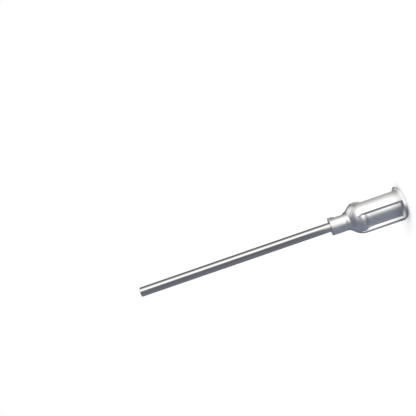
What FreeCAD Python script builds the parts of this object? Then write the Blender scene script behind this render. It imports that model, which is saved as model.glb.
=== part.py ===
"""A blunt cannula: a straight steel tube held in a cold-formed aluminium hub.

The hub stands on its open rear end at z = 0, centred on the Z axis, and the tube rises out of
its neck to the blunt tip. The first recessed panel of the hub faces +X. Sizes are in millimetres
and degrees.
"""
import FreeCAD, Part
import math
import os

from FreeCAD import Placement, Rotation, Vector

# Hub outside, from the rear rim to the front face
BODY_RADIUS = 3.28
REAR_FACE_WIDTH = 0.1
SHOULDER_START = 7.95
SHOULDER_ROUND = 3.05
SHOULDER_ANGLE = 43.7
NECK_RADIUS = 1.74
NECK_FILLET = 1.38
HUB_LENGTH = 14.2
NOSE_ROUND = 0.12

# Recessed panels between the raised lands. The ramp climbs 0.43 mm of their 0.69 mm depth
PANEL_COUNT = 3
PANEL_ANGLE = 70.6
PANEL_FLOOR_WALL = 0.44
PANEL_RAMP_SHARE = 0.43 / 0.69
PANEL_SILL_ANGLE = 6.0
PANEL_WALL_DRAFT = 6.0
LAND_EDGE_ROUND = 0.27
LAND_EDGE_CROSSING = 0.004
RIM_LENGTH = 0.68
RIM_WALL_DRAFT = 30.0
RAMP_LENGTH = 1.6
RAMP_END = 8.55
PANEL_CORNER_FILLET = 0.12

# Flat that is pressed into one side of the neck to grip the tube
STAKE_FLAT_DISTANCE = 1.49
STAKE_START = 11.33
COLLAR_LENGTH = 1.15
STAKE_RAMP_ANGLE = 45.0

# Syringe socket inside the hub, with its six percent taper on the diameter
SOCKET_MOUTH_RADIUS = 2.15
SOCKET_TAPER = 0.06
SOCKET_DEPTH = 7.9
SOCKET_FLOOR_ANGLE = 45.0
MOUTH_CHAMFER = 0.1

# Steel tube, 15 gauge
TUBE_OUTER_RADIUS = 0.9145
TUBE_BORE_RADIUS = 0.686
TUBE_EXPOSED_LENGTH = 38.1
TUBE_SEAT_LENGTH = 5.0
TIP_OUTER_ROUND = 0.1
TIP_INNER_CHAMFER = 0.05

FULL_TURN = 360.0
OVERSHOOT = 1.0


def at(radius, height):
    """Returns the point of the XZ section plane at this radius and height."""
    return Vector(radius, 0, height)


def arc(centre, radius, start, end):
    """Returns an arc edge in the section plane, between two angles from the radial direction.

    Angles are in degrees and grow towards +Z. The middle point fixes the way the arc bulges.
    """
    def on_arc(angle):
        turn = math.radians(angle)
        return centre + Vector(radius * math.cos(turn), 0, radius * math.sin(turn))

    return Part.Arc(on_arc(start), on_arc((start + end) / 2), on_arc(end)).toShape()


def joined(pieces):
    """Returns one closed wire from edges and points in order, with lines across every gap."""
    edges = []
    first = None
    last = None
    for piece in pieces:
        is_edge = isinstance(piece, Part.Edge)
        start = piece.valueAt(piece.FirstParameter) if is_edge else piece
        end = piece.valueAt(piece.LastParameter) if is_edge else piece
        if first is None:
            first = start
        elif (start - last).Length > 1e-7:
            edges.append(Part.LineSegment(last, start).toShape())
        if is_edge:
            edges.append(piece)
        last = end
    if (first - last).Length > 1e-7:
        edges.append(Part.LineSegment(last, first).toShape())
    return Part.Wire(edges)


def turned(pieces):
    """Returns the solid made by turning a closed section once round the Z axis."""
    return Part.Face(joined(pieces)).revolve(Vector(0, 0, 0), Vector(0, 0, 1), FULL_TURN)


def about_axis(shape, angle):
    """Returns a copy of the shape, turned about the Z axis by an angle in degrees."""
    copy = shape.copy()
    copy.rotate(Vector(0, 0, 0), Vector(0, 0, 1), angle)
    return copy


def panel_floor_radius():
    """Returns the radius of the panels' floor, which leaves its wall over the socket's mouth."""
    return SOCKET_MOUTH_RADIUS + PANEL_FLOOR_WALL


def panel_sill_radius():
    """Returns the radius of the sill that the ramp climbs to."""
    return panel_floor_radius() + (BODY_RADIUS - panel_floor_radius()) * PANEL_RAMP_SHARE


def shoulder_outline():
    """Returns the two shoulder arcs: the round off the body and the fillet into the neck.

    Where the step down to the neck is too low for both, they shrink together until they meet.
    """
    turn = math.radians(SHOULDER_ANGLE)
    needed = (SHOULDER_ROUND + NECK_FILLET) * (1 - math.cos(turn))
    fit = min(1.0, (BODY_RADIUS - NECK_RADIUS) / needed)
    round_radius = SHOULDER_ROUND * fit
    body_round = arc(at(BODY_RADIUS - round_radius, SHOULDER_START), round_radius, 0, SHOULDER_ANGLE)
    cone_top = body_round.valueAt(body_round.LastParameter)
    fillet = NECK_FILLET * fit
    fillet_radius = NECK_RADIUS + fillet * (1 - math.cos(turn))
    fillet_foot = cone_top.z + (cone_top.x - fillet_radius) / math.tan(turn)
    fillet_centre = at(NECK_RADIUS + fillet, fillet_foot + fillet * math.sin(turn))
    neck_fillet = arc(fillet_centre, fillet, 180 + SHOULDER_ANGLE, 180)
    return body_round, neck_fillet


def hub_blank():
    """Returns the hub as turned: outside, socket, conical socket floor and tube hole.

    The rear rim's round takes the wall's whole thickness but for the narrow ring it stands on.
    """
    body_round, neck_fillet = shoulder_outline()
    mouth_edge_radius = SOCKET_MOUTH_RADIUS + MOUTH_CHAMFER
    rim_round = BODY_RADIUS - mouth_edge_radius - REAR_FACE_WIDTH
    socket_end_radius = SOCKET_MOUTH_RADIUS - SOCKET_DEPTH * SOCKET_TAPER / 2
    floor_depth = (socket_end_radius - TUBE_OUTER_RADIUS) / math.tan(math.radians(SOCKET_FLOOR_ANGLE))
    chamfer_end_radius = SOCKET_MOUTH_RADIUS - MOUTH_CHAMFER * SOCKET_TAPER / 2
    return turned([
        at(mouth_edge_radius, 0),
        arc(at(BODY_RADIUS - rim_round, rim_round), rim_round, -90, 0),
        body_round,
        neck_fillet,
        arc(at(NECK_RADIUS - NOSE_ROUND, HUB_LENGTH - NOSE_ROUND), NOSE_ROUND, 0, 90),
        at(TUBE_OUTER_RADIUS, HUB_LENGTH),
        at(TUBE_OUTER_RADIUS, SOCKET_DEPTH + floor_depth),
        at(socket_end_radius, SOCKET_DEPTH),
        at(chamfer_end_radius, MOUTH_CHAMFER),
    ])


def panel_ring():
    """Returns the ring that the panels take away, before it is cut into separate panels."""
    floor_radius = panel_floor_radius()
    rise = panel_sill_radius() - floor_radius
    ramp_angle = 2 * math.degrees(math.atan(rise / RAMP_LENGTH))
    ramp_round = RAMP_LENGTH / 2 / math.sin(math.radians(ramp_angle))
    outer_radius = BODY_RADIUS + OVERSHOOT
    rim_slope = math.tan(math.radians(RIM_WALL_DRAFT))
    floor_start = RIM_LENGTH + (BODY_RADIUS - floor_radius) * rim_slope
    foot_centre = at(floor_radius + ramp_round, RAMP_END - RAMP_LENGTH)
    crest_centre = at(panel_sill_radius() - ramp_round, RAMP_END)
    crest = arc(crest_centre, ramp_round, -ramp_angle, PANEL_SILL_ANGLE)
    crest_end = crest.valueAt(crest.LastParameter)
    sill_drop = (HUB_LENGTH - crest_end.z) * math.tan(math.radians(PANEL_SILL_ANGLE))
    return turned([
        at(outer_radius, RIM_LENGTH - OVERSHOOT * rim_slope),
        at(floor_radius, floor_start),
        arc(foot_centre, ramp_round, 180, 180 - ramp_angle),
        crest,
        at(crest_end.x - sill_drop, HUB_LENGTH),
        at(outer_radius, HUB_LENGTH),
    ])


def panel_side(side):
    """Returns one side of the panel's outline: the drafted wall and the round over the land's edge.

    The round crosses the body's surface at a small angle rather than touching it, so that the cut
    stays clean, and it takes half the panel's depth at most. The side is 1 or -1. Points run
    outwards from inside the panel.
    """
    draft = math.radians(PANEL_WALL_DRAFT)
    slope = math.radians(PANEL_ANGLE / 2) + draft
    edge_round = min(LAND_EDGE_ROUND, (BODY_RADIUS - panel_floor_radius()) / 2)
    reach = BODY_RADIUS + LAND_EDGE_CROSSING - edge_round
    turn = slope + math.asin((edge_round - BODY_RADIUS * math.sin(draft)) / reach)
    along = Vector(math.cos(slope), side * math.sin(slope), 0)
    facing = Vector(math.sin(slope), -side * math.cos(slope), 0)
    outward = Vector(math.cos(turn), side * math.sin(turn), 0)
    centre = outward * reach
    wall_end = centre + facing * edge_round
    middle = centre + (facing + outward).normalize() * edge_round
    crest = centre + outward * edge_round
    return [
        wall_end - along * (BODY_RADIUS / 2),
        Part.Arc(wall_end, middle, crest).toShape(),
        crest + outward * BODY_RADIUS,
    ]


def panel_wedge():
    """Returns the prism between the two side walls of the panel that faces +X."""
    right = panel_side(-1)
    start, edge_round, end = right
    back = Part.Arc(edge_round.valueAt(edge_round.LastParameter),
                    edge_round.valueAt((edge_round.FirstParameter + edge_round.LastParameter) / 2),
                    edge_round.valueAt(edge_round.FirstParameter)).toShape()
    outline = joined(panel_side(1) + [end, back, start])
    return Part.Face(outline).extrude(Vector(0, 0, HUB_LENGTH))


def panel_cutter():
    """Returns the solid that one panel takes away, with filleted floor corners.

    The fillet takes half the sill's depth at most.
    """
    cutter = panel_ring().common(panel_wedge())
    limit = math.radians(PANEL_ANGLE / 2 + PANEL_WALL_DRAFT)
    sill_radius = panel_sill_radius()
    corners = []
    for edge in cutter.Edges:
        middle = edge.valueAt((edge.FirstParameter + edge.LastParameter) / 2)
        radius = math.hypot(middle.x, middle.y)
        beside_wall = abs(math.atan2(abs(middle.y), middle.x)) > math.radians(PANEL_ANGLE / 4)
        if radius < sill_radius + 1e-3 and beside_wall and abs(middle.y) < radius * math.sin(limit):
            corners.append(edge)
    return cutter.makeFillet(min(PANEL_CORNER_FILLET, (BODY_RADIUS - sill_radius) / 2), corners)


def stake_cutter():
    """Returns the bar that presses the flat into the +X side of the neck."""
    run = OVERSHOOT / math.tan(math.radians(STAKE_RAMP_ANGLE))
    far = STAKE_FLAT_DISTANCE + OVERSHOOT
    stake_end = HUB_LENGTH - COLLAR_LENGTH
    corners = [
        Vector(STAKE_FLAT_DISTANCE, -BODY_RADIUS, STAKE_START),
        Vector(STAKE_FLAT_DISTANCE, -BODY_RADIUS, stake_end),
        Vector(far, -BODY_RADIUS, stake_end + run),
        Vector(far, -BODY_RADIUS, STAKE_START - run),
        Vector(STAKE_FLAT_DISTANCE, -BODY_RADIUS, STAKE_START),
    ]
    return Part.Face(Part.makePolygon(corners)).extrude(Vector(0, 2 * BODY_RADIUS, 0))


def hub():
    """Returns the hub: the turned blank with its panels and the staking flat."""
    shape = hub_blank()
    cutter = panel_cutter()
    for index in range(PANEL_COUNT):
        shape = shape.cut(about_axis(cutter, index * FULL_TURN / PANEL_COUNT))
    return shape.cut(stake_cutter())


def tube():
    """Returns the steel tube, from its seat in the hub to the deburred blunt tip."""
    seat = HUB_LENGTH - TUBE_SEAT_LENGTH
    tip = HUB_LENGTH + TUBE_EXPOSED_LENGTH
    return turned([
        at(TUBE_BORE_RADIUS, seat),
        at(TUBE_OUTER_RADIUS, seat),
        arc(at(TUBE_OUTER_RADIUS - TIP_OUTER_ROUND, tip - TIP_OUTER_ROUND), TIP_OUTER_ROUND, 0, 90),
        at(TUBE_BORE_RADIUS + TIP_INNER_CHAMFER, tip),
        at(TUBE_BORE_RADIUS, tip - TIP_INNER_CHAMFER),
    ])


def main():
    """Writes each piece to its own STEP file."""
    os.makedirs("parts", exist_ok=True)
    pieces = {"hub": hub(), "tube": tube()}
    for name, shape in pieces.items():
        solid = shape.Solids[0]
        print(name, "solids", len(shape.Solids), "valid", solid.isValid(), "volume", round(solid.Volume, 3))
        solid.exportStep(f"parts/{name}.step")


main()
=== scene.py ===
"""Looks of the blunt cannula: metal finishes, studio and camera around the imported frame.

The hub stands on its open rear end at z = 0 and the tube rises along +Z, so the camera is rolled
to lay the picture of it down. Sizes are in metres and angles in degrees unless a name says so.
"""

import logging
import math
from dataclasses import dataclass, field
from enum import Enum

import bpy
from mathutils import Matrix, Vector

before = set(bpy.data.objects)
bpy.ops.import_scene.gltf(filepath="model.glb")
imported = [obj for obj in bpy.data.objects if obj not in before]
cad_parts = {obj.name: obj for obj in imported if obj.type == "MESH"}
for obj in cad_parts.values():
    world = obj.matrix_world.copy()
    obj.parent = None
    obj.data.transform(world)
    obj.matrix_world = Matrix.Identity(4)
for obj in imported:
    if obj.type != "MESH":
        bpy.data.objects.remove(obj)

LOG = logging.getLogger("blunt_cannula")
MM = 0.001
HALF_TURN = 180.0
IMAGE_SIZE_PX = 416
SENSOR_WIDTH_MM = 36.0

Colour = tuple[float, float, float]
Span = tuple[float, float]

WHITE: Colour = (1.0, 1.0, 1.0)
WHOLE: Span = (0.0, 1.0)
NOISE_SPAN: Span = (0.3, 0.7)


class Piece(Enum):
    """The object's pieces, by their names in the frame."""

    HUB = "hub"
    TUBE = "tube"


class MetalInput(Enum):
    """The inputs of the metal shader that the finishes set."""

    COLOUR = "Base Color"
    METALLIC = "Metallic"
    ROUGHNESS = "Roughness"
    NORMAL = "Normal"


class Maths(Enum):
    """The arithmetic that the materials use, by its names in Blender."""

    SUM = "ADD"
    PRODUCT = "MULTIPLY"
    LARGER = "MAXIMUM"
    POWER = "POWER"
    ROOT = "SQRT"
    ANGLE = "ARCTAN2"
    DEGREES = "DEGREES"


class Easing(Enum):
    """How a range runs from its start to its end."""

    EVEN = "LINEAR"
    SOFT = "SMOOTHSTEP"


def opaque(colour: Colour) -> tuple[float, float, float, float]:
    """Returns the colour with full alpha."""
    return (*colour, 1.0)


def direction(azimuth: float, rise: float) -> Vector:
    """Finds the unit vector towards an azimuth and an angle above the ground.

    Args:
        azimuth: The angle round +Z from +X.
        rise: The angle above the ground.

    Returns:
        The unit vector.
    """
    turn = math.radians(azimuth)
    climb = math.radians(rise)
    level = math.cos(climb)
    return Vector((level * math.cos(turn), level * math.sin(turn), math.sin(climb)))


@dataclass(frozen=True)
class Grain:
    """The size of a noise, across and along the object's axis, and its number of finer octaves."""

    across: float
    along: float
    octaves: float


class MaterialNodes:
    """A short way to make a material and to add and join its nodes."""

    def __init__(self, name: str) -> None:
        """Makes a material with an empty node tree.

        Args:
            name: The material's name.
        """
        self.material = bpy.data.materials.new(name)
        self.material.use_nodes = True
        self.tree = self.material.node_tree
        self.tree.nodes.clear()

    def add(self, kind: str, **settings: object) -> bpy.types.Node:
        """Adds a node and sets its properties.

        Args:
            kind: The node's type name in Blender.
            **settings: Properties of the node by name.

        Returns:
            The new node.
        """
        node = self.tree.nodes.new(kind)
        for name, value in settings.items():
            setattr(node, name, value)
        return node

    def join(self, source: bpy.types.NodeSocket, target: bpy.types.NodeSocket) -> None:
        """Links an output to an input."""
        self.tree.links.new(source, target)

    def fill(self, target: bpy.types.NodeSocket,
             value: bpy.types.NodeSocket | Colour | float) -> None:
        """Links an output to an input, or sets a constant on the input itself.

        Args:
            target: The input.
            value: The output, colour or number that it takes.
        """
        if isinstance(value, bpy.types.NodeSocket):
            self.join(value, target)
        elif isinstance(value, tuple):
            target.default_value = opaque(value)
        else:
            target.default_value = value

    def place(self) -> bpy.types.NodeSocket:
        """Returns the position on the piece, in its own metres."""
        return self.add("ShaderNodeTexCoord").outputs["Object"]

    def axes(self, vector: bpy.types.NodeSocket) -> list[bpy.types.NodeSocket]:
        """Splits a vector.

        Args:
            vector: The vector.

        Returns:
            Its parts along X, Y and Z.
        """
        split = self.add("ShaderNodeSeparateXYZ")
        self.join(vector, split.inputs["Vector"])
        return [split.outputs[axis] for axis in "XYZ"]

    def noise(self, place: bpy.types.NodeSocket, grain: Grain) -> bpy.types.NodeSocket:
        """Adds a noise over the piece.

        Args:
            place: The position on the piece.
            grain: The noise's size.

        Returns:
            The noise value, from 0 to 1.
        """
        mapping = self.add("ShaderNodeMapping")
        across = 1 / grain.across
        mapping.inputs["Scale"].default_value = (across, across, 1 / grain.along)
        self.join(place, mapping.inputs["Vector"])
        node = self.add("ShaderNodeTexNoise")
        node.inputs["Scale"].default_value = 1.0
        node.inputs["Detail"].default_value = grain.octaves
        self.join(mapping.outputs["Vector"], node.inputs["Vector"])
        return node.outputs["Fac"]

    def ranged(self, value: bpy.types.NodeSocket, start: Span, end: Span,
               easing: Easing = Easing.EVEN) -> bpy.types.NodeSocket:
        """Maps a value from one range to another and clamps it there.

        Args:
            value: The value to map.
            start: The range that it comes from.
            end: The range that it goes to.
            easing: How it runs from one end to the other.

        Returns:
            The mapped value.
        """
        node = self.add("ShaderNodeMapRange", interpolation_type=easing.value)
        node.inputs["From Min"].default_value = start[0]
        node.inputs["From Max"].default_value = start[1]
        node.inputs["To Min"].default_value = end[0]
        node.inputs["To Max"].default_value = end[1]
        self.join(value, node.inputs["Value"])
        return node.outputs["Result"]

    def maths(self, operation: Maths, first: bpy.types.NodeSocket,
              second: bpy.types.NodeSocket | float | None = None) -> bpy.types.NodeSocket:
        """Applies an arithmetic operation.

        Args:
            operation: The operation.
            first: The first value.
            second: The second value, linked or constant, where the operation has one.

        Returns:
            The result.
        """
        node = self.add("ShaderNodeMath", operation=operation.value)
        self.join(first, node.inputs[0])
        if second is not None:
            self.fill(node.inputs[1], second)
        return node.outputs["Value"]

    def mixed(self, share: bpy.types.NodeSocket, first: bpy.types.NodeSocket | Colour,
              second: bpy.types.NodeSocket | Colour) -> bpy.types.NodeSocket:
        """Blends two colours, each of them linked or constant.

        Args:
            share: The share of the second colour, from 0 to 1.
            first: The colour at 0.
            second: The colour at 1.

        Returns:
            The blended colour.
        """
        node = self.add("ShaderNodeMix", data_type="RGBA")
        self.fill(node.inputs["A"], first)
        self.fill(node.inputs["B"], second)
        self.join(share, node.inputs["Factor"])
        return node.outputs["Result"]

    def bumped(self, height: bpy.types.NodeSocket, depth: float,
               under: bpy.types.NodeSocket | None = None) -> bpy.types.NodeSocket:
        """Lays a height field on the surface.

        Args:
            height: The height from 0 to 1.
            depth: The height's size in metres.
            under: The normal that it is added to, if there is one.

        Returns:
            The bumped normal.
        """
        node = self.add("ShaderNodeBump")
        node.inputs["Strength"].default_value = 1.0
        node.inputs["Distance"].default_value = depth
        self.join(height, node.inputs["Height"])
        if under is not None:
            self.join(under, node.inputs["Normal"])
        return node.outputs["Normal"]

    def metal(self, colour: bpy.types.NodeSocket, roughness: bpy.types.NodeSocket,
              normal: bpy.types.NodeSocket) -> bpy.types.NodeSocket:
        """Adds a metal surface.

        Args:
            colour: The metal's colour.
            roughness: Its roughness.
            normal: Its bumped normal.

        Returns:
            The surface.
        """
        shader = self.add("ShaderNodeBsdfPrincipled")
        shader.inputs[MetalInput.METALLIC.value].default_value = 1.0
        self.join(colour, shader.inputs[MetalInput.COLOUR.value])
        self.join(roughness, shader.inputs[MetalInput.ROUGHNESS.value])
        self.join(normal, shader.inputs[MetalInput.NORMAL.value])
        return shader.outputs["BSDF"]

    def glowing(self, colour: bpy.types.NodeSocket | Colour,
                strength: bpy.types.NodeSocket) -> bpy.types.NodeSocket:
        """Adds a glow.

        Args:
            colour: Its colour, linked or constant.
            strength: Its strength.

        Returns:
            The glow.
        """
        shader = self.add("ShaderNodeEmission")
        self.fill(shader.inputs["Color"], colour)
        self.join(strength, shader.inputs["Strength"])
        return shader.outputs["Emission"]

    def together(self, first: bpy.types.NodeSocket,
                 second: bpy.types.NodeSocket) -> bpy.types.NodeSocket:
        """Adds up the light of two surfaces.

        Args:
            first: One surface.
            second: The other.

        Returns:
            Both at once.
        """
        both = self.add("ShaderNodeAddShader")
        self.join(first, both.inputs[0])
        self.join(second, both.inputs[1])
        return both.outputs["Shader"]

    def finish(self, surface: bpy.types.NodeSocket) -> bpy.types.Material:
        """Joins a surface to the material's output.

        Args:
            surface: The surface.

        Returns:
            The finished material.
        """
        output = self.add("ShaderNodeOutputMaterial")
        self.join(surface, output.inputs["Surface"])
        return self.material


@dataclass(frozen=True)
class TumbledAluminium:
    """Satin aluminium, tumbled after turning, with a smoother rolled rear rim.

    Colour and roughness drift in clouds. The tumbled grain and faint turning rings are relief.
    """

    dark: Colour = (0.75, 0.75, 0.75)
    light: Colour = (0.84, 0.84, 0.835)
    roughness: Span = (0.28, 0.36)
    rim_smoothing: float = -0.12
    rim_span: Span = (0.7 * MM, 1.0 * MM)
    cloud: Grain = Grain(across=1.4 * MM, along=1.4 * MM, octaves=3.0)
    grain: Grain = Grain(across=0.16 * MM, along=0.16 * MM, octaves=2.0)
    grain_depth: float = 0.0022 * MM
    rings: Grain = Grain(across=50.0 * MM, along=0.11 * MM, octaves=1.0)
    ring_depth: float = 0.0008 * MM

    def material(self) -> bpy.types.Material:
        """Makes the finish.

        Returns:
            The material.
        """
        nodes = MaterialNodes("tumbled_aluminium")
        place = nodes.place()
        cloud = nodes.noise(place, self.cloud)
        height = nodes.axes(place)[2]
        rim = nodes.ranged(height, self.rim_span, (self.rim_smoothing, 0.0), Easing.SOFT)
        roughness = nodes.maths(Maths.SUM, nodes.ranged(cloud, NOISE_SPAN, self.roughness), rim)
        tumbled = nodes.bumped(nodes.noise(place, self.grain), self.grain_depth)
        turned = nodes.bumped(nodes.noise(place, self.rings), self.ring_depth, tumbled)
        colour = nodes.mixed(cloud, self.dark, self.light)
        return nodes.finish(nodes.metal(colour, roughness, turned))


@dataclass(frozen=True)
class DrawnSteel:
    """Bright stainless tube with fine streaks along its length, in colour, gloss and relief."""

    dark: Colour = (0.63, 0.625, 0.62)
    light: Colour = (0.72, 0.715, 0.71)
    roughness: Span = (0.09, 0.16)
    worn_span: Span = (0.1, 0.4)
    streaks: Grain = Grain(across=0.07 * MM, along=9.0 * MM, octaves=3.0)
    streak_depth: float = 0.0006 * MM
    cloud: Grain = Grain(across=2.5 * MM, along=2.5 * MM, octaves=2.0)

    def material(self) -> bpy.types.Material:
        """Makes the finish.

        Returns:
            The material.
        """
        nodes = MaterialNodes("drawn_steel")
        place = nodes.place()
        streaks = nodes.noise(place, self.streaks)
        worn = nodes.maths(Maths.PRODUCT, streaks, nodes.noise(place, self.cloud))
        roughness = nodes.ranged(worn, self.worn_span, self.roughness)
        colour = nodes.mixed(nodes.ranged(streaks, NOISE_SPAN, WHOLE), self.dark, self.light)
        drawn = nodes.bumped(streaks, self.streak_depth)
        return nodes.finish(nodes.metal(colour, roughness, drawn))


@dataclass(frozen=True)
class Cannula:
    """The object itself: its two metal pieces, which keep their construction shapes."""

    hub_finish: TumbledAluminium = TumbledAluminium()
    tube_finish: DrawnSteel = DrawnSteel()

    def dress(self, nodes: dict[str, bpy.types.Object]) -> None:
        """Gives the hub and the tube their finishes.

        Args:
            nodes: The frame's objects by node name.
        """
        for piece, finish in ((Piece.HUB, self.hub_finish), (Piece.TUBE, self.tube_finish)):
            self.cover(nodes[piece.value], finish.material())
            LOG.info("%s is finished as %s", piece.value, type(finish).__name__)

    @staticmethod
    def cover(piece: bpy.types.Object, material: bpy.types.Material) -> None:
        """Puts one material in every slot of a piece.

        Args:
            piece: The piece.
            material: The material.
        """
        if not piece.material_slots:
            piece.data.materials.append(material)
        for slot in piece.material_slots:
            slot.material = material


def stage_mesh(name: str, corners: list[tuple[float, float, float]],
               faces: list[tuple[int, ...]], material: bpy.types.Material) -> bpy.types.Object:
    """Makes a mesh object that isn't part of the object.

    Args:
        name: Its name.
        corners: Its corner points.
        faces: Its faces, as corner numbers.
        material: Its material.

    Returns:
        The new object.
    """
    mesh = bpy.data.meshes.new(name)
    mesh.from_pydata(corners, [], faces)
    mesh.materials.append(material)
    piece = bpy.data.objects.new(name, mesh)
    bpy.context.scene.collection.objects.link(piece)
    return piece


@dataclass(frozen=True)
class WhiteFloor:
    """The plain white floor under the hub, which keeps its shadow."""

    half: float = 3.0
    colour: Colour = (0.94, 0.94, 0.94)
    lift: float = 0.1

    def build(self) -> None:
        """Makes the floor."""
        signs = ((-1, -1), (1, -1), (1, 1), (-1, 1))
        corners = [(x * self.half, y * self.half, 0.0) for x, y in signs]
        stage_mesh("floor", corners, [(0, 1, 2, 3)], self.material())

    def material(self) -> bpy.types.Material:
        """Makes the floor's paint, lifted to white for the camera and in reflections.

        Returns:
            The material.
        """
        nodes = MaterialNodes("white_floor")
        paint = nodes.add("ShaderNodeBsdfDiffuse")
        paint.inputs["Color"].default_value = opaque(self.colour)
        path = nodes.add("ShaderNodeLightPath")
        seen = path.outputs["Is Camera Ray"]
        for ray in ("Is Glossy Ray", "Is Transmission Ray"):
            seen = nodes.maths(Maths.LARGER, seen, path.outputs[ray])
        lift = nodes.glowing(WHITE, nodes.maths(Maths.PRODUCT, seen, self.lift))
        return nodes.finish(nodes.together(paint.outputs["BSDF"], lift))


@dataclass(frozen=True)
class WhiteWorld:
    """An even white all round."""

    strength: float = 1.0

    def build(self) -> None:
        """Makes the world and makes it the scene's own."""
        world = bpy.data.worlds.new("studio_white")
        world.use_nodes = True
        background = world.node_tree.nodes["Background"]
        background.inputs["Color"].default_value = opaque(WHITE)
        background.inputs["Strength"].default_value = self.strength
        bpy.context.scene.world = world


@dataclass(frozen=True)
class SoftLamp:
    """A square lamp that faces the origin. Reflections see the tent in its place.

    The swing is the angle from the camera's side, positive towards the top of the picture.
    """

    reach: float = 0.5
    height: float = 0.2
    swing: float = 50.0
    side: float = 0.5
    power: float = 1.0

    def build(self, camera_azimuth: float) -> None:
        """Hangs the lamp.

        Args:
            camera_azimuth: The camera's azimuth as seen from the object's axis.
        """
        data = bpy.data.lights.new("soft_lamp", "AREA")
        data.shape = "SQUARE"
        data.size = self.side
        data.energy = self.power
        lamp = bpy.data.objects.new("soft_lamp", data)
        bpy.context.scene.collection.objects.link(lamp)
        turn = math.radians(camera_azimuth + self.swing)
        lamp.location = (self.reach * math.cos(turn), self.reach * math.sin(turn), self.height)
        lamp.rotation_euler = lamp.location.to_track_quat("Z", "Y").to_euler()
        lamp.visible_camera = False
        lamp.visible_glossy = False


@dataclass(frozen=True)
class CardTone:
    """The tone of the tent in one direction round the object, by its swing.

    The swing is the angle from the camera's side, positive towards the top of the picture.
    """

    swing: float
    glow: Colour


@dataclass(frozen=True)
class Card:
    """One more card on the tent, with a soft edge.

    The swing is the angle from the camera's side, positive towards the top of the picture, and
    the rise is the angle above the ground. The edge fades in between two cosines of the angle
    from the card's middle.
    """

    swing: float
    rise: float
    edge: Span
    strength: float


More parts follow.
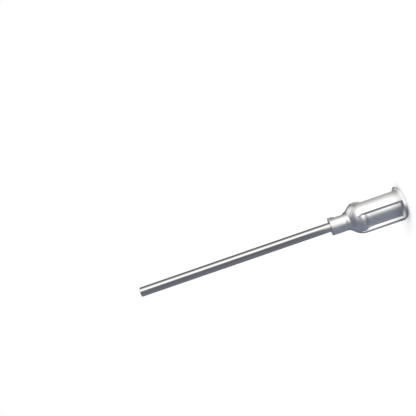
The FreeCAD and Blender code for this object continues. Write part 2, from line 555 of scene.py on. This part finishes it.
@dataclass(frozen=True)
class ReflectionTent:
    """A dome of reflection cards on a ground disc, which only reflections see.

    It is brightest beside the camera on the lamp's side and dull blue grey on the other, as
    cards stood round polished metal are. The hub sees the near tones, on the ground round it and
    on the dome's upper part. The tube sees the level tones, on the far ground and on the dome's
    lowest part. Overhead the dome is dull. The side card stands on the dome, and the back card
    lies on the near ground. Close to the hub the ground is in its shade: the rim sees the rim
    shade, and the walls in front of it see the wall shade. A reach is a distance from the
    object's axis, and a climb is an angle above the ground.
    """

    camera_azimuth: float
    radius: float = 0.32
    lift: float = 0.05 * MM
    sides: int = 64
    rings: int = 16
    strength: float = 3.3
    far_reach: Span = (90.0 * MM, 142.0 * MM)
    low_climb: Span = (21.0, 28.0)
    overhead: Colour = (0.048, 0.053, 0.064)
    overhead_climb: Span = (38.0, 58.0)
    rim_shade: float = 0.67
    rim_reach: Span = (4.0 * MM, 6.5 * MM)
    wall_shade: float = 0.40
    wall_reach: Span = (8.2 * MM, 11.0 * MM)
    card_glow: Colour = (0.66, 0.66, 0.65)
    side_card: Card = Card(swing=124.0, rise=48.0, edge=(0.74, 0.98), strength=1.0)
    side_climb: Span = (20.0, 40.0)
    back_card: Card = Card(swing=180.0, rise=0.0, edge=(0.90, 0.985), strength=1.6)
    near_tones: tuple[CardTone, ...] = (
        CardTone(-80.0, (0.075, 0.084, 0.112)),
        CardTone(-36.0, (0.080, 0.083, 0.093)),
        CardTone(-20.0, (0.19, 0.19, 0.19)),
        CardTone(-8.0, (0.52, 0.52, 0.515)),
        CardTone(36.0, (0.52, 0.52, 0.515)),
        CardTone(52.0, (0.40, 0.40, 0.395)),
        CardTone(65.0, (0.26, 0.26, 0.255)),
        CardTone(77.0, (0.175, 0.175, 0.172)),
        CardTone(90.0, (0.135, 0.135, 0.132)),
        CardTone(110.0, (0.125, 0.125, 0.122)),
        CardTone(126.0, (0.19, 0.19, 0.187)),
        CardTone(148.0, (0.20, 0.20, 0.197)),
        CardTone(164.0, (0.11, 0.11, 0.115)),
        CardTone(180.0, (0.076, 0.083, 0.106)),
    )
    level_tones: tuple[CardTone, ...] = (
        CardTone(-90.0, (0.066, 0.070, 0.089)),
        CardTone(-25.0, (0.053, 0.0545, 0.063)),
        CardTone(6.0, (0.051, 0.0515, 0.055)),
        CardTone(28.0, (0.44, 0.44, 0.435)),
        CardTone(36.0, (0.50, 0.50, 0.495)),
        CardTone(52.0, (0.48, 0.48, 0.475)),
        CardTone(72.0, (0.22, 0.22, 0.217)),
        CardTone(95.0, (0.07, 0.07, 0.069)),
        CardTone(110.0, (0.042, 0.042, 0.042)),
        CardTone(185.0, (0.048, 0.050, 0.058)),
        CardTone(268.0, (0.066, 0.070, 0.089)),
    )

    def build(self) -> None:
        """Sets up the dome on its ground disc, for reflections only."""
        tent = stage_mesh("reflection_cards", self.corners(), self.faces(), self.material())
        tent.visible_camera = False
        tent.visible_diffuse = False
        tent.visible_shadow = False
        tent.visible_transmission = False

    def corners(self) -> list[tuple[float, float, float]]:
        """Places the dome's corners, ring by ring from the ground up.

        Returns:
            The corner points.
        """
        turn = 2 * math.pi / self.sides
        rise = math.pi / 2 / self.rings
        corners = []
        for ring in range(self.rings):
            reach = self.radius * math.cos(ring * rise)
            height = self.lift + self.radius * math.sin(ring * rise)
            corners += [(reach * math.cos(i * turn), reach * math.sin(i * turn), height)
                        for i in range(self.sides)]
        return corners

    def faces(self) -> list[tuple[int, ...]]:
        """Joins the corners to the ground disc, the dome's small flat top and its walls.

        Returns:
            The faces, as corner numbers.
        """
        count = self.sides
        top = (self.rings - 1) * count
        faces = [tuple(range(count)), tuple(range(top, top + count))]
        for low in range(0, top, count):
            high = low + count
            faces += [(low + i, low + (i + 1) % count, high + (i + 1) % count, high + i)
                      for i in range(count)]
        return faces

    def material(self) -> bpy.types.Material:
        """Makes the tent's glow: the tones all round, and the two cards on them.

        Returns:
            The material.
        """
        nodes = MaterialNodes("reflection_cards")
        along_x, along_y, up = nodes.axes(nodes.place())
        squares = [nodes.maths(Maths.POWER, along, 2.0) for along in (along_x, along_y)]
        reach = nodes.maths(Maths.ROOT, nodes.maths(Maths.SUM, *squares))
        around = nodes.maths(Maths.DEGREES, nodes.maths(Maths.ANGLE, along_y, along_x))
        climb = nodes.maths(Maths.DEGREES, nodes.maths(Maths.ANGLE, up, reach))
        tones = nodes.glowing(self.tone(nodes, around, reach, climb), self.shaded(nodes, reach))
        cards = nodes.glowing(self.card_glow, self.cards(nodes, reach, climb))
        return nodes.finish(nodes.together(tones, cards))

    def tone(self, nodes: MaterialNodes, around: bpy.types.NodeSocket,
             reach: bpy.types.NodeSocket, climb: bpy.types.NodeSocket) -> bpy.types.NodeSocket:
        """Finds the tent's colour from the near tones, the level tones and the dull top.

        Args:
            nodes: The material's nodes.
            around: The direction round the object.
            reach: The distance from the object's axis.
            climb: The angle above the ground.

        Returns:
            The colour.
        """
        near = self.swept(nodes, around, self.near_tones)
        level = self.swept(nodes, around, self.level_tones)
        far = nodes.ranged(reach, self.far_reach, WHOLE, Easing.SOFT)
        low = nodes.ranged(climb, self.low_climb, (1.0, 0.0), Easing.SOFT)
        sides = nodes.mixed(nodes.maths(Maths.PRODUCT, far, low), near, level)
        above = nodes.ranged(climb, self.overhead_climb, WHOLE, Easing.SOFT)
        return nodes.mixed(above, sides, self.overhead)

    def swept(self, nodes: MaterialNodes, around: bpy.types.NodeSocket,
              tones: tuple[CardTone, ...]) -> bpy.types.NodeSocket:
        """Blends tones by the direction round the object.

        Args:
            nodes: The material's nodes.
            around: The direction round the object.
            tones: The tones in order of their swing.

        Returns:
            The colour.
        """
        ramp = nodes.add("ShaderNodeValToRGB")
        stops = ramp.color_ramp.elements
        for index, tone in enumerate(tones):
            share = (self.camera_azimuth + tone.swing + HALF_TURN) / (2 * HALF_TURN)
            stop = stops[index] if index < len(stops) else stops.new(share)
            stop.position = share
            stop.color = opaque(tone.glow)
        nodes.join(nodes.ranged(around, (-HALF_TURN, HALF_TURN), WHOLE), ramp.inputs["Fac"])
        return ramp.outputs["Color"]

    def shaded(self, nodes: MaterialNodes, reach: bpy.types.NodeSocket) -> bpy.types.NodeSocket:
        """Finds the strength of the tones, which is lower in the hub's shade.

        Args:
            nodes: The material's nodes.
            reach: The distance from the object's axis.

        Returns:
            The strength.
        """
        shades = (self.rim_shade, self.wall_shade)
        under_rim = nodes.ranged(reach, self.rim_reach, shades, Easing.SOFT)
        past_wall = nodes.ranged(reach, self.wall_reach, (self.wall_shade, 1.0), Easing.SOFT)
        shade = nodes.maths(Maths.LARGER, under_rim, past_wall)
        return nodes.maths(Maths.PRODUCT, shade, self.strength)

    def cards(self, nodes: MaterialNodes, reach: bpy.types.NodeSocket,
              climb: bpy.types.NodeSocket) -> bpy.types.NodeSocket:
        """Finds the strength of the side card, high up, and of the back card, on the ground.

        Args:
            nodes: The material's nodes.
            reach: The distance from the object's axis.
            climb: The angle above the ground.

        Returns:
            The strength of both.
        """
        high = nodes.ranged(climb, self.side_climb, WHOLE, Easing.SOFT)
        side = nodes.maths(Maths.PRODUCT, self.card(nodes, self.side_card), high)
        near = nodes.ranged(reach, self.far_reach, (1.0, 0.0), Easing.SOFT)
        back = nodes.maths(Maths.PRODUCT, self.card(nodes, self.back_card), near)
        return nodes.maths(Maths.SUM, side, back)

    def card(self, nodes: MaterialNodes, card: Card) -> bpy.types.NodeSocket:
        """Finds the strength of one card by the direction from the origin.

        Args:
            nodes: The material's nodes.
            card: The card.

        Returns:
            The strength.
        """
        unit = nodes.add("ShaderNodeVectorMath", operation="NORMALIZE")
        nodes.join(nodes.place(), unit.inputs[0])
        facing = nodes.add("ShaderNodeVectorMath", operation="DOT_PRODUCT")
        nodes.join(unit.outputs["Vector"], facing.inputs[0])
        facing.inputs[1].default_value = direction(self.camera_azimuth + card.swing, card.rise)
        return nodes.ranged(facing.outputs["Value"], card.edge, (0.0, card.strength), Easing.SOFT)


@dataclass(frozen=True)
class Studio:
    """A white floor, a white world, one soft lamp and the tent of reflection cards."""

    camera_azimuth: float
    floor: WhiteFloor = WhiteFloor()
    world: WhiteWorld = WhiteWorld()
    lamp: SoftLamp = SoftLamp()

    def build(self) -> None:
        """Makes the four of them in order."""
        self.floor.build()
        self.world.build()
        self.lamp.build(self.camera_azimuth)
        ReflectionTent(self.camera_azimuth).build()
        LOG.info("studio: floor, world, lamp and reflection tent")


@dataclass(frozen=True)
class PhotoCamera:
    """The camera at the photograph's viewing angle.

    It looks at a point of the plane y = 0. Azimuth and elevation say where it stands from there,
    and the roll turns it about its own axis.
    """

    target: Vector = field(default_factory=lambda: Vector((11.037, 0.0, 34.822)) * MM)
    distance: float = 115.06 * MM
    azimuth: float = -94.51
    elevation: float = -3.08
    roll: float = 109.33
    focal_px: float = 600.0
    nearest: float = 10 * MM

    def away(self) -> Vector:
        """Returns the direction from the target to the camera."""
        return direction(self.azimuth, self.elevation)

    def place(self) -> Vector:
        """Returns the camera's place."""
        return self.target + self.away() * self.distance

    def foot_azimuth(self) -> float:
        """Returns the camera's azimuth as seen from the object's own axis."""
        place = self.place()
        return math.degrees(math.atan2(place.y, place.x))

    def build(self) -> None:
        """Makes the camera and makes it the scene's own."""
        data = bpy.data.cameras.new("photo_camera")
        data.sensor_width = SENSOR_WIDTH_MM
        data.lens = self.focal_px * SENSOR_WIDTH_MM / IMAGE_SIZE_PX
        data.clip_start = self.nearest
        camera = bpy.data.objects.new("photo_camera", data)
        bpy.context.scene.collection.objects.link(camera)
        facing = self.away().to_track_quat("Z", "Y").to_matrix().to_4x4()
        rolled = facing @ Matrix.Rotation(-math.radians(self.roll), 4, "Z")
        camera.matrix_world = Matrix.Translation(self.place()) @ rolled
        bpy.context.scene.camera = camera
        LOG.info("camera %.0f mm away, lens %.1f mm", self.distance / MM, data.lens)


def main() -> None:
    """Dresses the part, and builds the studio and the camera."""
    logging.basicConfig(level=logging.INFO, format="%(name)s: %(message)s")
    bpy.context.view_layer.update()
    camera = PhotoCamera()
    Cannula().dress(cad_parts)
    Studio(camera.foot_azimuth()).build()
    camera.build()
    bpy.context.scene.view_settings.view_transform = "Standard"


if __name__ == "__main__":
    main()
